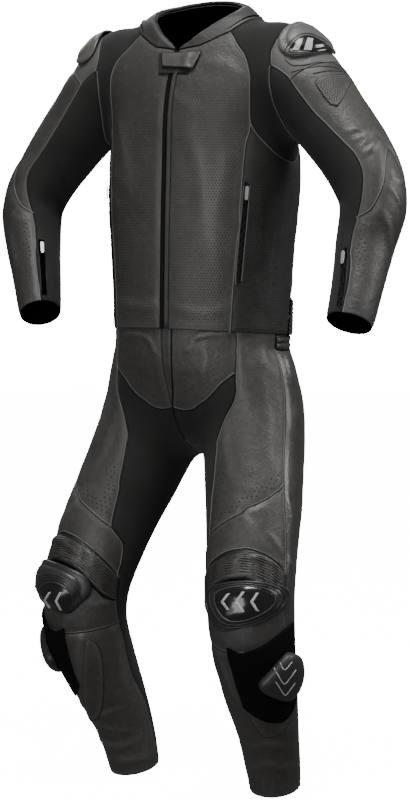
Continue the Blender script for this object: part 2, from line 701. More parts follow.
def outer_skin(node, ribs=None, turn=SIDE_TURN):
    """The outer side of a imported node. A pleated one is made from its smooth inside, and its ribs
    are kept as a share from 0 in the valleys to 1 on the crests."""
    net = whole_net(node)
    rib = net.verts.layers.float.new("rib")
    groups = flat_sides(net, math.radians(turn))
    keep = set(groups[ribs[0] if ribs else SECOND_SIDE.get(kind_of(node), 0)])
    if ribs:
        inside = {vert for face in keep for vert in face.verts}
        crests = KDTree(len(net.verts))
        for vert in net.verts:
            if vert not in inside:
                crests.insert(vert.co, vert.index)
        crests.balance()
        for vert in inside:
            away = crests.find(vert.co)[2]
            vert[rib] = 1.0 if away > PLEAT_WALL + 0.0006 else 0.0
    bmesh.ops.delete(net, geom=[face for face in net.faces if face not in keep], context="FACES")
    net.normal_update()
    if ribs:
        push(net, net.verts, -PLEAT_WALL)
        bmesh.ops.reverse_faces(net, faces=net.faces[:])
        net.normal_update()
    return net


def quads(net):
    """Joins a net's triangles into quads, within each panel."""
    bmesh.ops.join_triangles(
        net, faces=net.faces[:], cmp_materials=True,
        angle_face_threshold=math.radians(80), angle_shape_threshold=math.radians(80),
    )


def finer(net, faces=None):
    """Halves the edges of a net, or of some of its faces, and rounds it as it goes."""
    net.normal_update()
    edges = list({edge for face in (faces or net.faces) for edge in face.edges})
    bmesh.ops.subdivide_edges(
        net, edges=edges, cuts=1, use_grid_fill=True, smooth=1.0, smooth_falloff="LINEAR"
    )
    net.normal_update()


def even(net, rounds):
    """Evens out a net between its open edges."""
    loose = [vert for vert in net.verts if not vert.is_boundary]
    for _ in range(rounds):
        bmesh.ops.smooth_vert(
            net, verts=loose, factor=0.5, use_axis_x=True, use_axis_y=True, use_axis_z=True
        )
    net.normal_update()


def lay_flat(net):
    """Gives every panel of a net its flat coordinates, in metres, with up along the second."""
    for edge in net.edges:
        edge.seam = len({face.material_index for face in edge.link_faces}) > 1
    mesh = bpy.data.meshes.new("flat")
    net.to_mesh(mesh)
    held = bpy.data.objects.new("flat", mesh)
    bpy.context.scene.collection.objects.link(held)
    mesh.uv_layers.new(name="cloth")
    bpy.context.view_layer.objects.active = held
    held.select_set(True)
    bpy.ops.object.mode_set(mode="EDIT")
    bpy.ops.mesh.select_all(action="SELECT")
    bpy.ops.uv.unwrap(method="ANGLE_BASED", margin=0.001)
    bpy.ops.object.mode_set(mode="OBJECT")
    scale_flat(mesh)
    net.clear()
    net.from_mesh(mesh)
    net.normal_update()
    bpy.data.objects.remove(held)
    bpy.data.meshes.remove(mesh)


def flat_of(mesh):
    """A mesh's flat coordinates, a row for each corner of its faces."""
    flat = np.zeros(len(mesh.loops) * 2, np.float32)
    mesh.uv_layers["cloth"].uv.foreach_get("vector", flat)
    return flat.reshape(-1, 2)


def scale_flat(mesh):
    """Turns and scales each panel's flat coordinates to metres."""
    flat = flat_of(mesh).astype(float)
    corners = np.zeros(len(mesh.loops), np.int32)
    mesh.loops.foreach_get("vertex_index", corners)
    places = np.zeros(len(mesh.vertices) * 3, np.float32)
    mesh.vertices.foreach_get("co", places)
    places = places.reshape(-1, 3)[corners].astype(float)
    by_panel = {}
    for face in mesh.polygons:
        by_panel.setdefault(face.material_index, []).append(face)
    for faces in by_panel.values():
        real = sum(face.area for face in faces)
        mapped = 0.0
        loops = []
        for face in faces:
            span = list(face.loop_indices)
            loops += span
            u, v = flat[span].T
            mapped += abs(np.dot(u, np.roll(v, -1)) - np.dot(v, np.roll(u, -1))) / 2
        part = flat[loops] - flat[loops].mean(0)
        rise = places[loops, 2] - places[loops, 2].mean()
        slope = np.linalg.lstsq(part, rise, rcond=None)[0]
        slope /= max(np.linalg.norm(slope), TINY)
        turned = np.stack((part @ (slope[1], -slope[0]), part @ slope), 1)
        flat[loops] = turned * math.sqrt(real / max(mapped, 1e-12))
    mesh.uv_layers["cloth"].uv.foreach_set("vector", flat.astype(np.float32).ravel())


def flat_size(mesh):
    """The width and length of a flat panel, and its area, in metres. A panel that fills too
    little of its box, because it bends, states a narrower one."""
    width, tall = np.ptp(flat_of(mesh), axis=0)
    area = sum(face.area for face in mesh.polygons)
    width = max(float(width), area / float(tall), LEAST_FLAT)
    tall = max(float(tall), LEAST_FLAT)
    if area < LEAST_FILL * width * tall:
        width = max(area / (BENT_FILL * tall), LEAST_FLAT)
    return (width, tall), min(max(area, LEAST_SHARE * width * tall), width * tall)


def tree_of(net):
    """What finds the nearest place on a net, or where a line meets it."""
    return BVHTree.FromBMesh(net)


# -------------------------------------------------------------------------------------- pieces

def show(name, mesh, materials):
    """Puts a finished mesh on the suit."""
    made = bpy.data.objects.new(name, mesh)
    bpy.context.scene.collection.objects.link(made)
    for finish in materials:
        mesh.materials.append(MATERIALS[finish])
    mesh.shade_smooth()
    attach(made, "suit")
    return made


def show_wall(name, net, materials, thickness):
    """Puts a net on the suit as a wall with its thickness inward. A second material is for its
    inside."""
    for face in net.faces:
        face.material_index = 0
        face.smooth = True
    mesh = bpy.data.meshes.new(name)
    net.to_mesh(mesh)
    net.free()
    made = show(name, mesh, materials)
    solid = made.modifiers.new("wall", "SOLIDIFY")
    solid.thickness, solid.offset = thickness, -1
    solid.use_quality_normals = True
    solid.material_offset = len(materials) - 1
    return made


def rolled_edge(net):
    """Stands a sheet up from its edge over a narrow ring."""
    bmesh.ops.inset_region(
        net, faces=net.faces[:], thickness=ROLL_REACH, depth=0, use_boundary=True,
        use_even_offset=True, use_interpolate=True,
    )
    net.normal_update()
    ring = {
        line.other_vert(vert)
        for vert in net.verts if vert.is_boundary
        for line in vert.link_edges if not line.is_boundary
    }
    push(net, [vert for vert in ring if not vert.is_boundary], ROLL_RISE)


class Garment:
    """The outer skins of one garment's panels as one net whose seams are shared."""

    def __init__(self, panels, folds):
        self.parts = []
        self.net = bmesh.new()
        for panel, (finish, fine, thickness) in panels.items():
            for node in [panel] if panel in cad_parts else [f"{panel}_{s}" for s in SIDES]:
                skin = outer_skin(node, RIBS.get(panel))
                for face in skin.faces:
                    face.material_index = len(self.parts)
                held = bpy.data.meshes.new("held")
                skin.to_mesh(held)
                self.net.from_mesh(held)
                bpy.data.meshes.remove(held)
                skin.free()
                self.parts.append((node, panel, finish, fine, thickness))
        net = self.net
        bmesh.ops.remove_doubles(net, verts=net.verts, dist=MERGE)
        quads(net)
        lay_flat(net)
        finer(net)
        even(net, 3)
        self.inside = net.copy()
        finer(net)
        even(net, 4)
        fine_parts = {i for i, part in enumerate(self.parts) if part[3]}
        finer(net, [face for face in net.faces if face.material_index in fine_parts])
        self.shape(folds)
        self.tree = tree_of(net)

    def shape(self, folds):
        """Presses the seams in, crowns the panels, and adds folds, unevenness and ribs."""
        sizes, net = bpy.context.scene.suit_sizes, self.net
        seam, bend = net.verts.layers.float.new("seam"), net.verts.layers.float.new("bend")
        rib = net.verts.layers.float["rib"]
        net.verts.ensure_lookup_table()
        places = np.array([vert.co for vert in net.verts])
        lines = [
            edge for edge in net.edges
            if edge.is_boundary or len({face.material_index for face in edge.link_faces}) > 1
        ]
        near = KDTree(3 * len(lines))
        for i, edge in enumerate(lines):
            for k, share in enumerate((0.0, 0.33, 0.67)):
                near.insert(edge.verts[0].co.lerp(edge.verts[1].co, share), 3 * i + k)
        near.balance()
        away = np.array([near.find(vert.co)[2] for vert in net.verts])
        away[[vert.index for edge in lines for vert in edge.verts]] = 0
        tree = tree_of(net)
        press, mark = np.zeros(len(places)), np.zeros(len(places))
        for across_down, width, height, paired in folds:
            line = [tree.ray_cast(*ray(*point))[0] for point in across_down]
            line = np.array([point for point in line if point is not None])
            if len(line) < 2:
                continue
            for mirror in ((1, -1) if paired else (1,)):
                reach = fold_reach(places * (mirror, 1, 1), line, width)
                press += reach * height * sizes.folds
                mark += np.abs(reach)
        kind = [self.parts[vert.link_faces[0].material_index] for vert in net.verts]
        soft = np.array([SOFTNESS.get(part[2], 1.0) for part in kind])
        rough = np.array([
            noise.noise(vert.co * 16) + 0.5 * noise.noise(vert.co * 34 + Vector((3, 7, 1)))
            for vert in net.verts
        ])
        inner = 1 - np.exp(-((away / sizes.groove_width) ** 2))
        rise = sizes.crown * soft * (1 - np.exp(-away / 0.020))
        rise -= sizes.groove * (1 - inner)
        rise += (press + rough * sizes.undulation * soft) * inner
        ribs = np.array([vert[rib] for vert in net.verts])
        tall = np.array([RIBS[part[1]][1] if part[1] in RIBS else 0.0 for part in kind])
        rise += tall * np.sqrt(np.clip(1 - (1 - ribs) ** 2, 0, 1))
        for vert, gap, crease in zip(net.verts, away, mark):
            vert[seam], vert[bend] = gap, min(crease, 1.0)
        push(net, net.verts, rise)

    def lining(self, name):
        """Makes the one lining that hangs inside all the panels."""
        push(self.inside, self.inside.verts, -LINING_DEPTH)
        piece = show_wall(name, self.inside, ("lining",), LINING_WALL)

    def pieces(self):
        """Makes one sheet for each panel, with its wall and its rolled edge."""
        for i, (node, panel, finish, _fine, thickness) in enumerate(self.parts):
            net = self.net.copy()
            others = [face for face in net.faces if face.material_index != i]
            bmesh.ops.delete(net, geom=others, context="FACES")
            net.normal_update()
            if panel not in RIBS:
                rolled_edge(net)
            piece = show_wall(f"{node}_sheet", net, (finish, "lining"), thickness)
            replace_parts(piece, node)
            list(flat_size(piece.data))


def fold_reach(places, line, width):
    """How far each place is up a fold along a line, from 0 to 1, with a shallow dip at each side."""
    best = np.full(len(places), 1e9)
    fade = np.ones(len(places))
    total, run = sum(np.linalg.norm(b - a) for a, b in zip(line, line[1:])), 0.0
    for a, b in zip(line, line[1:]):
        along = b - a
        size = np.linalg.norm(along)
        share = np.clip((places - a) @ along / size**2, 0, 1)
        away = np.linalg.norm(places - (a + share[:, None] * along), axis=1)
        closer = away < best
        best[closer] = away[closer]
        where = (run + share[closer] * size) / total
        fade[closer] = np.sin(np.pi * np.clip(0.12 + 0.76 * where, 0, 1)) ** 0.8
        run += size
    ratio = (best / width) ** 2
    return fade * (1 - 0.55 * ratio) * np.exp(-ratio)


GARMENTS = {}


def settle(net, surface, lift):
    """Moves the points of a laid piece that are too low up to its height above a surface."""
    for vert in net.verts:
        place, normal, _face, _gap = surface.find_nearest(vert.co)
        height = (vert.co - place).dot(normal)
        if height < lift:
            vert.co = vert.co + normal * (lift - height)
    net.normal_update()


def drape(net, surface, lift):
    """Lays every point of a patch at one height above a surface."""
    for vert in net.verts:
        place, normal, _face, _gap = surface.find_nearest(vert.co)
        vert.co = place + normal * lift
    net.normal_update()


def mark_seams(net):
    """Keeps each point's distance from the edge of its piece."""
    layers = net.verts.layers.float
    seam, bend = (layers.get(name) or layers.new(name) for name in ("seam", "bend"))
    edge = [vert for vert in net.verts if vert.is_boundary]
    near = KDTree(len(edge))
    for i, vert in enumerate(edge):
        near.insert(vert.co, i)
    near.balance()
    for vert in net.verts:
        vert[seam], vert[bend] = near.find(vert.co)[2], 0.0


def refined_skin(node, rounds, turn=SIDE_TURN):
    """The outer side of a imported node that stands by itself, in small quads and laid flat."""
    net = outer_skin(node, turn=turn)
    quads(net)
    lay_flat(net)
    for _ in range(rounds):
        finer(net)
    return net


def laid_sheet(node, garment, turn=SIDE_TURN, close=False):
    """A soft patch, tab or tape that lies on a garment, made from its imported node, and its flat
    size."""
    finish, slot, lift, thickness = LAID[kind_of(node)]
    net = refined_skin(node, LAID_ROUNDS, turn)
    if close:
        drape(net, garment.tree, lift + thickness)
        even(net, 3)
    settle(net, garment.tree, lift + thickness)
    mark_seams(net)
    piece = show_wall(f"{node}_sheet", net, (finish, "lining"), thickness)
    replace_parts(piece, node)
    return piece, flat_size(piece.data)


# --------------------------------------------------------------------------------------- seams

def chains(edges):
    """Edges joined end to end into lines of points."""
    links = {}
    for edge in edges:
        for vert in edge.verts:
            links.setdefault(vert, []).append(edge)
    left, made = set(edges), []
    starts = [vert for vert in links if len(links[vert]) != 2] + list(links)
    for start in starts:
        for first in links[start]:
            if first not in left:
                continue
            line, edge, vert = [start], first, start
            while edge in left:
                left.discard(edge)
                vert = edge.other_vert(vert)
                line.append(vert)
                ahead = [other for other in links[vert] if other in left]
                if len(links[vert]) != 2 or not ahead:
                    break
                edge = ahead[0]
            made.append(line)
    return made


# Which finish the folded edge and the stitches of a seam lie on.
EDGE_ORDER = ("cap", "perforated", "flank", "thigh", "leather", "forearm", "gloss", "pleat", "stretch")


def seam_lines(garment):
    """The seams of a garment: the panels that meet, the one that is stitched, the seam's points,
    the way up, and the way to the stitched side."""
    net, parts = garment.net, garment.parts
    groups = {}
    for edge in net.edges:
        panels = {face.material_index for face in edge.link_faces}
        if len(panels) == 2 or edge.is_boundary:
            groups.setdefault(tuple(sorted(panels)), []).append(edge)
    made = []
    for panels, edges in groups.items():
        owner = min(panels, key=lambda i: EDGE_ORDER.index(parts[i][2]))
        for line in chains(edges):
            if len(line) < 5:
                continue
            places = np.array([vert.co for vert in line])
            ups = np.array([vert.normal for vert in line])
            sides = unit(np.cross(ups, unit(np.gradient(places, axis=0))))
            vote = 0.0
            for vert, place, side in zip(line, places, sides):
                for face in vert.link_faces:
                    if face.material_index == owner:
                        vote += float(np.dot(np.array(face.calc_center_median()) - place, side))
            made.append((panels, owner, places, ups, sides * (1 if vote >= 0 else -1)))
    return made


def beside(line, off, rise):
    """A line moved sideways and up, and evened out."""
    _panels, _owner, places, ups, sides = line
    return evened(places + sides * off + ups * rise, 2)


def tubes(name, lines, radius, finish, ends=True):
    """Round strips along lines of points, as one mesh."""
    drawn = bpy.data.curves.new(name, "CURVE")
    drawn.dimensions = "3D"
    drawn.bevel_depth, drawn.bevel_resolution = radius, 1
    drawn.use_fill_caps = ends
    for line in lines:
        spline = drawn.splines.new("POLY")
        spline.points.add(len(line) - 1)
        spline.points.foreach_set("co", np.hstack((line, np.ones((len(line), 1)))).ravel())
    held = bpy.data.objects.new(name + "_line", drawn)
    mesh = bpy.data.meshes.new_from_object(held)
    mesh.name = name
    bpy.data.objects.remove(held)
    bpy.data.curves.remove(drawn)
    return show(name, mesh, (finish,))


def spaced(line, pitch):
    """Points at an even pitch along a line, and where each lies between the line's own points."""
    steps = np.linalg.norm(np.diff(line, axis=0), axis=1)
    run = np.concatenate(([0], np.cumsum(steps)))
    wanted = np.arange(pitch / 2, run[-1], pitch)
    share = np.interp(wanted, run, np.arange(len(line)))
    return np.stack([np.interp(wanted, run, line[:, k]) for k in range(3)], 1), share


def heading(line, share):
    """The way ahead along a line, at places between its points."""
    steps = np.gradient(line, axis=0)
    return np.stack([np.interp(share, np.arange(len(line)), steps[:, k]) for k in range(3)], 1)


def nearest(tree, points):
    """The nearest places of a surface to some points, and the way up at each."""
    found = [tree.find_nearest(point) for point in points]
    return np.array([hit[0] for hit in found]), np.array([hit[1] for hit in found])


def frames(points, ahead, up):
    """The places of repeated pieces: their length along ahead and their top along up."""
    ahead = unit(ahead)
    side = unit(np.cross(up, ahead))
    top = np.cross(ahead, side)
    made = np.zeros((len(points), 4, 4))
    made[:, :3, 0], made[:, :3, 1], made[:, :3, 2], made[:, :3, 3] = ahead, side, top, points
    made[:, 3, 3] = 1
    return made


def scatter(name, stamp, places, finish):
    """One mesh of a small piece repeated at many places."""
    corners = np.array([(*vert.co, 1) for vert in stamp.verts])
    faces = [[vert.index for vert in face.verts] for face in stamp.faces]
    stamp.free()
    moved = np.einsum("nij,vj->nvi", np.concatenate(places), corners)[..., :3]
    count = len(corners)
    mesh = bpy.data.meshes.new(name)
    mesh.from_pydata(
        moved.reshape(-1, 3).tolist(), [],
        [[i + k * count for i in face] for k in range(len(moved)) for face in faces],
    )
    return show(name, mesh, (finish,))


def capsule(size):
    """A small rounded stroke."""
    net = bmesh.new()
    bmesh.ops.create_uvsphere(net, u_segments=6, v_segments=4, radius=0.5)
    bmesh.ops.rotate(net, verts=net.verts, matrix=Matrix.Rotation(math.pi / 2, 3, "Y"))
    bmesh.ops.scale(net, verts=net.verts, vec=size)
    net.verts.index_update()
    return net


def block(size, edge):
    """A small block with rounded edges."""
    net = bmesh.new()
    bmesh.ops.create_cube(net, size=1)
    bmesh.ops.scale(net, verts=net.verts, vec=size)
    bmesh.ops.bevel(
        net, geom=net.edges[:], offset=edge, affect="EDGES", segments=1, profile=0.5, material=-1
    )
    net.verts.index_update()
    return net


def stitch_places(garment, line, off):
    """The places of a row of stitches beside a seam."""
    row = beside(line, off, 0.0)
    points, share = spaced(row, bpy.context.scene.suit_sizes.pitch)
    if not len(points):
        return np.zeros((0, 4, 4))
    feet, up = nearest(garment.tree, points)
    return frames(feet + up * STITCH_RISE, heading(row, share), up)


def sew(garment, name):
    """The folded edges and the stitches of a garment's seams."""
    sizes = bpy.context.scene.suit_sizes
    pipes, rows = [], []
    for line in seam_lines(garment):
        panels, owner = line[0], line[1]
        kinds = {garment.parts[i][2] for i in panels}
        if garment.parts[owner][2] == "pleat":
            continue
        hem = len(panels) == 1
        if not hem and kinds != {"pleat"}:
            pipes.append(beside(line, sizes.piping_off, STRIP_RISE))
        rows.append(stitch_places(garment, line, HEM_STITCHES if hem else sizes.stitch_off))
    tubes(f"{name}_piping", pipes, sizes.piping, "piping")
    stitch = capsule((sizes.stitch, STITCH_WIDTH, STITCH_HEIGHT))
    scatter(f"{name}_stitches", stitch, rows, "thread")


# --------------------------------------------------------------------------- zips and closures

def middle_line(node, turn):
    """The middle line of a long packed strip, with the way up at each point."""
    net = outer_skin(node, turn=turn)
    quads(net)
    middle = sum((vert.co for vert in net.verts), Vector()) / len(net.verts)
    spread = np.array([vert.co - middle for vert in net.verts])
    along = Vector(np.linalg.svd(spread, full_matrices=False)[2][0])
    rungs = []
    for edge in net.edges:
        first, last = edge.verts
        if not edge.is_boundary or abs(along.dot((last.co - first.co).normalized())) < 0.5:
            up = (first.normal + last.normal).normalized()
            rungs.append((tuple((first.co + last.co) / 2), tuple(up)))
    net.free()
    rungs.sort(key=lambda rung: -rung[0][2])
    return np.array([rung[0] for rung in rungs]), np.array([rung[1] for rung in rungs])


def zip_teeth(name, line, surface, half):
    """Two rows of teeth that mesh along a line."""
    points, share = spaced(line, TOOTH_PITCH)
    ahead = unit(heading(line, share))
    feet, up = nearest(surface, points)
    side = unit(np.cross(up, ahead))
    middle = feet + up * TOOTH_LIFT
    places = [
        frames(middle + side * half * hand * 0.7 + ahead * TOOTH_PITCH * 0.25 * hand, side, up)
        for hand in (1, -1)
    ]
    return scatter(name, block(TOOTH_SIZE, TOOTH_EDGE), places, "tooth")


def welt_lines(node, tree, off):
    """The two lines beside a zip, on the garment."""
    line = spaced(middle_line(node, ZIP_TURN)[0], WELT_STEP)[0]
    ahead = np.gradient(line, axis=0)
    made = []
    for hand in (1, -1):
        row = []
        for place, step in zip(line, ahead):
            foot, normal, _face, _gap = tree.find_nearest(place)
            side = normal.cross(Vector(step)).normalized()
            foot, normal, _face, _gap = tree.find_nearest(foot + side * off * hand)
            row.append(foot + normal * STRIP_RISE)
        made.append(evened(np.array(row), 8))
    return made


def band(line, move):
    """A net that grows from a line of points: move says how far each new point goes."""
    net = bmesh.new()
    row = [net.verts.new(place) for place in line]
    edges = [net.edges.new(pair) for pair in zip(row, row[1:])]
    for _ in range(BAND_STEPS):
        out = bmesh.ops.extrude_edge_only(net, edges=edges)["geom"]
        edges = [item for item in out if isinstance(item, bmesh.types.BMEdge)]
        for vert in {vert for edge in edges for vert in edge.verts}:
            vert.co += move(vert.co)
    bmesh.ops.recalc_face_normals(net, faces=net.faces[:])
    net.normal_update()
    return net


def zip_flap(line, ups, surface):
    """The flap beside the centre zip, and its flat size."""
    side = unit(np.cross(ups, np.gradient(line, axis=0)))

    def across(place):
        near = int(np.argmin(np.linalg.norm(line + side * FLAP_SHIFT - np.array(place), axis=1)))
        return Vector(side[near]) * (FLAP_WIDTH / BAND_STEPS)

    net = band(line + side * (FLAP_SHIFT - FLAP_WIDTH / 2) + ups * FLAP_LIFT, across)
    if sum(face.normal.dot(Vector(ups[len(ups) // 2])) for face in net.faces) < 0:
        bmesh.ops.reverse_faces(net, faces=net.faces[:])
    drape(net, surface, FLAP_LIFT)
    lay_flat(net)
    mark_seams(net)
    piece = show_wall("zip_flap", net, ("leather",), FLAP_WALL)
    bevel = piece.modifiers.new("edge", "BEVEL")
    bevel.width, bevel.segments, bevel.limit_method = FLAP_WALL * 0.3, 2, "ANGLE"
    return piece, flat_size(piece.data)


def neck_facing(line):
    """The band of cloth that hangs inside the collar, and its flat size."""
    net = band(line, lambda _place: Vector((0, 0, -FACING_DROP / BAND_STEPS)))
    middle = sum((vert.co for vert in net.verts), Vector()) / len(net.verts)
    if sum(face.normal.dot(face.calc_center_median() - middle) for face in net.faces) < 0:
        bmesh.ops.reverse_faces(net, faces=net.faces[:])
    lay_flat(net)
    mark_seams(net)
    piece = show_wall("neck_facing", net, ("lining",), FACING_WALL)
    return piece, flat_size(piece.data)


def cut_patch(source, outline):
    """The part of a net inside an outline with no hollows, as seen in the view."""
    net = source.copy()
    place = eye()[0]
    rays = [ray(*point)[1] for point in outline]
    middle = sum(rays, Vector()) / len(rays)
    for a, b in zip(rays, rays[1:] + rays[:1]):
        side = a.cross(b)
        if side.dot(middle) < 0:
            side = -side
        bmesh.ops.bisect_plane(
            net, geom=net.verts[:] + net.edges[:] + net.faces[:], plane_co=place, plane_no=side,
            clear_inner=True, dist=1e-6,
        )
    back = [face for face in net.faces if face.normal.dot(middle) > 0.25]
    bmesh.ops.delete(net, geom=back, context="FACES")
    return net


def smooth_outline(points, rounds=2):
    """An outline rounded by cutting its corners."""
    ring = np.array(points, float)
    for _ in range(rounds):
        after = np.roll(ring, -1, axis=0)
        ring = np.stack((0.75 * ring + 0.25 * after, 0.25 * ring + 0.75 * after), 1).reshape(-1, 2)
    return [tuple(point) for point in ring]


def patch(kind, which, source, outline, rounds=2):
    """A flat piece cut to an outline and laid on a net."""
    lift, thickness, finish, slot = CUT[kind]
    net = cut_patch(source, smooth_outline(outline, rounds) if rounds else outline)
    if not net.faces:
        raise RuntimeError(f"{kind}_{which}: nothing lies under its outline")
    net.normal_update()
    push(net, net.verts, lift + thickness)
    bmesh.ops.remove_doubles(net, verts=net.verts, dist=2e-5)
    for face in net.faces:
        face.material_index = 0
    for layer in list(net.loops.layers.uv):
        net.loops.layers.uv.remove(layer)
    lay_flat(net)
    mark_seams(net)
    show_wall(f"{kind}_{which}", net, (finish,), thickness)


def on_net(tree, points, rise=STRIP_RISE):
    """A line drawn in the view and laid on a surface, evened out."""
    points = np.array(points, float)
    run = np.concatenate(([0], np.cumsum(np.linalg.norm(np.diff(points, axis=0), axis=1))))
    count = max(int(run[-1] / POINTS_PER_METRE / LINE_STEP), 4)
    wanted = np.linspace(0, run[-1], count)
    made = []
    for across, down in zip(*(np.interp(wanted, run, points[:, k]) for k in (0, 1))):
        place, normal, _face, _gap = tree.ray_cast(*ray(across, down))
        if place is not None:
            made.append(place + normal * rise)
    return evened(np.array(made), 3)


def dome(node, garment):
    """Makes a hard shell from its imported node, seated on the garment, and returns its net."""
    finish, lift, thickness = SHELLS[kind_of(node)]
    net = refined_skin(node, LAID_ROUNDS)
    even(net, 2)
    settle(net, garment.tree, lift)
    mark_seams(net)
    shape = net.copy()
    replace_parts(show_wall(f"{node}_cover", net, (finish,), thickness), node)
    return shape


def ring_lines(tree, outline, scales):
    """Closed lines round an outline in the view, at several sizes, laid on a surface."""
    ring = np.array(smooth_outline(outline))
    middle = ring.mean(0)
    made = []
    for scale in scales:
        points = middle + (ring - middle) * scale
        made.append(on_net(tree, [*points, points[0]]))
    return [line for line in made if len(line) > 8]


def chevron(tip, reach, height, thick):
    """The two arms of a plain chevron, as outlines in the view."""
    x, y = tip
    return [
        [(x, y), (x + thick, y), (x + reach + thick, y + hand * height), (x + reach, y + hand * height)]
        for hand in (-1, 1)
    ]


# ----------------------------------------------------------------------------------- operators

class SuitPiece(bpy.types.Operator):
    """What the suit's operators share"""

    bl_options = {"REGISTER"}

    @classmethod
    def poll(cls, context):
        return hasattr(context.scene, "suit_sizes")


class SUIT_OT_finishes(SuitPiece):
    """Make the suit's materials"""

    bl_idname = "suit.finishes"
    bl_label = "Finishes"

    def execute(self, context):
        MATERIALS.update(make_materials())
        return {"FINISHED"}


class SUIT_OT_jacket(SuitPiece):
    """Make the jacket's leather, stretch and pleated panels and its lining"""

    bl_idname = "suit.jacket"
    bl_label = "Jacket panels"

    def execute(self, context):
        jacket = GARMENTS["jacket"] = Garment(JACKET_PANELS, JACKET_FOLDS)
        jacket.pieces()
        jacket.lining("jacket_lining")
        return {"FINISHED"}


class SUIT_OT_trousers(SuitPiece):
    """Make the trousers' leather, stretch and pleated panels and their lining"""

    bl_idname = "suit.trousers"
    bl_label = "Trouser panels"

    def execute(self, context):
        trousers = GARMENTS["trousers"] = Garment(TROUSER_PANELS, TROUSER_FOLDS)
        trousers.pieces()
        trousers.lining("trousers_lining")
        return {"FINISHED"}


class SUIT_OT_seams(SuitPiece):
    """Make the folded edges and the stitches along the seams"""

    bl_idname = "suit.seams"
    bl_label = "Seams"

    def execute(self, context):
        for name, garment in GARMENTS.items():
            sew(garment, name)
        return {"FINISHED"}


def band_rim(net, upper=True):
    """The upper or lower edge of an upright band, from one end to the other, as a line of points."""
    rims = chains([edge for edge in net.edges if edge.is_boundary])
    rim = np.array([vert.co for line in rims for vert in line])
    middle = rim.mean(0)
    turn = np.arctan2(*(rim - middle)[:, :2].T)
    gaps = np.abs((turn[:, None] - turn[None] + math.pi) % (2 * math.pi) - math.pi)
    levels = np.array([
        (rim[near, 2].max() + rim[near, 2].min()) / 2 for near in gaps < math.radians(10)
    ])
    wanted = (rim[:, 2] > levels) == upper
    top, place = rim[wanted], turn[wanted]
    order = np.argsort(place)
    top, place = top[order], place[order]
    steps = np.diff(np.append(place, place[0] + 2 * math.pi))
    return evened(np.roll(top, -(int(np.argmax(steps)) + 1), axis=0), 3)


def inward(rim):
    """The level way from each point of a rim to its middle."""
    return unit((rim.mean(0) - rim) * (1, 1, 0))


def rim_tube(name, rim, size, finish):
    """A round strip that follows the collar's rim."""
    radius, inside, below = size
    return tubes(name, [rim + inward(rim) * inside - (0, 0, below)], radius, finish)


class SUIT_OT_collar(SuitPiece):
    """Make the stand collar, the soft roll inside its edge and the band inside the neck"""

    bl_idname = "suit.collar"
    bl_label = "Collar"

    def execute(self, context):
        net = refined_skin("collar", COLLAR_ROUNDS)
        mark_seams(net)
        top, base = band_rim(net), band_rim(net, False)
        collar = show_wall("collar_sheet", net, ("collar", "lining"), COLLAR_WALL)
        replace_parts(collar, "collar")
        roll = rim_tube("collar_roll", top, COLLAR_ROLL, "dark")
        edge = rim_tube("collar_edge", top, COLLAR_EDGE, "piping")
        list(flat_size(collar.data))
        start = base + inward(base) * FACING_INSET + (0, 0, FACING_START)
        facing, size = neck_facing(start)
        return {"FINISHED"}


class SUIT_OT_closures(SuitPiece):
    """Make the centre zip, its flap, the neck tab over its placket, and the fly"""

    bl_idname = "suit.closures"
    bl_label = "Closures"

    def execute(self, context):
        jacket, trousers = GARMENTS["jacket"], GARMENTS["trousers"]
        tape, size = laid_sheet("centre_zip", jacket)
        line, ups = middle_line("centre_zip", SIDE_TURN)
        teeth = zip_teeth("centre_zip_teeth", line, tree_from(tape), CENTRE_ROWS)
        flap, size = zip_flap(line[1:], ups[1:], jacket.tree)
        for node, garment, under in (
            ("neck_placket", jacket, "jacket_front_right_sheet"),
            ("neck_tab", jacket, "neck_placket_sheet"),
            ("fly", trousers, "crotch_front_right_sheet"),
        ):
            piece, size = laid_sheet(node, garment)
        return {"FINISHED"}


class SUIT_OT_pockets(SuitPiece):
    """Make the pocket and cuff zips, and finish their pulls"""

    bl_idname = "suit.pockets"
    bl_label = "Pocket and cuff zips"

    def execute(self, context):
        jacket = GARMENTS["jacket"]
        for kind, (off, finish) in WELTS.items():
            for side in SIDES:
                node = f"{kind}_zip_{side}"
                tape, size = laid_sheet(node, jacket, ZIP_TURN, close=True)
                line, _ups = middle_line(node, ZIP_TURN)
                teeth = zip_teeth(f"{node}_teeth", line, tree_from(tape), SIDE_ROWS)
                welts = welt_lines(node, jacket.tree, off)
                welt = tubes(f"{node}_welts", welts, WELT_RADIUS, finish)
                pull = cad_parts[f"{kind}_pull_{side}"]
                pull.data.materials.clear()
                pull.data.materials.append(MATERIALS["metal"])
        return {"FINISHED"}


class SUIT_OT_shoulders(SuitPiece):
    """Make the shoulder caps with their bars and ridges, and the left sleeve's inset and folds"""

    bl_idname = "suit.shoulders"
    bl_label = "Shoulder caps"

    def execute(self, context):
        jacket = GARMENTS["jacket"]
        shapes = {side: dome(f"shoulder_shell_{side}", jacket) for side in SIDES}
        source = shapes["left"]
        patch("shoulder_face", "left", source, SHOULDER_FACE)
        for which, outline in SHOULDER_BARS.items():
            patch("shoulder_bar", which, source, outline, 0)
        scales, radius = SHOULDER_RIDGES
        ridges = ring_lines(tree_of(source), SHOULDER_FACE, scales)
        tubes("shoulder_ridges_left", ridges, radius, "rubber", False)
        patch("sleeve_inset", "left", jacket.net, SLEEVE_INSET)
        folds = [on_net(jacket.tree, line) for line in SHOULDER_FOLDS]
        tubes("shoulder_folds_left", folds, FOLD_RADIUS, "dark")
        for shape in shapes.values():
            shape.free()
        return {"FINISHED"}


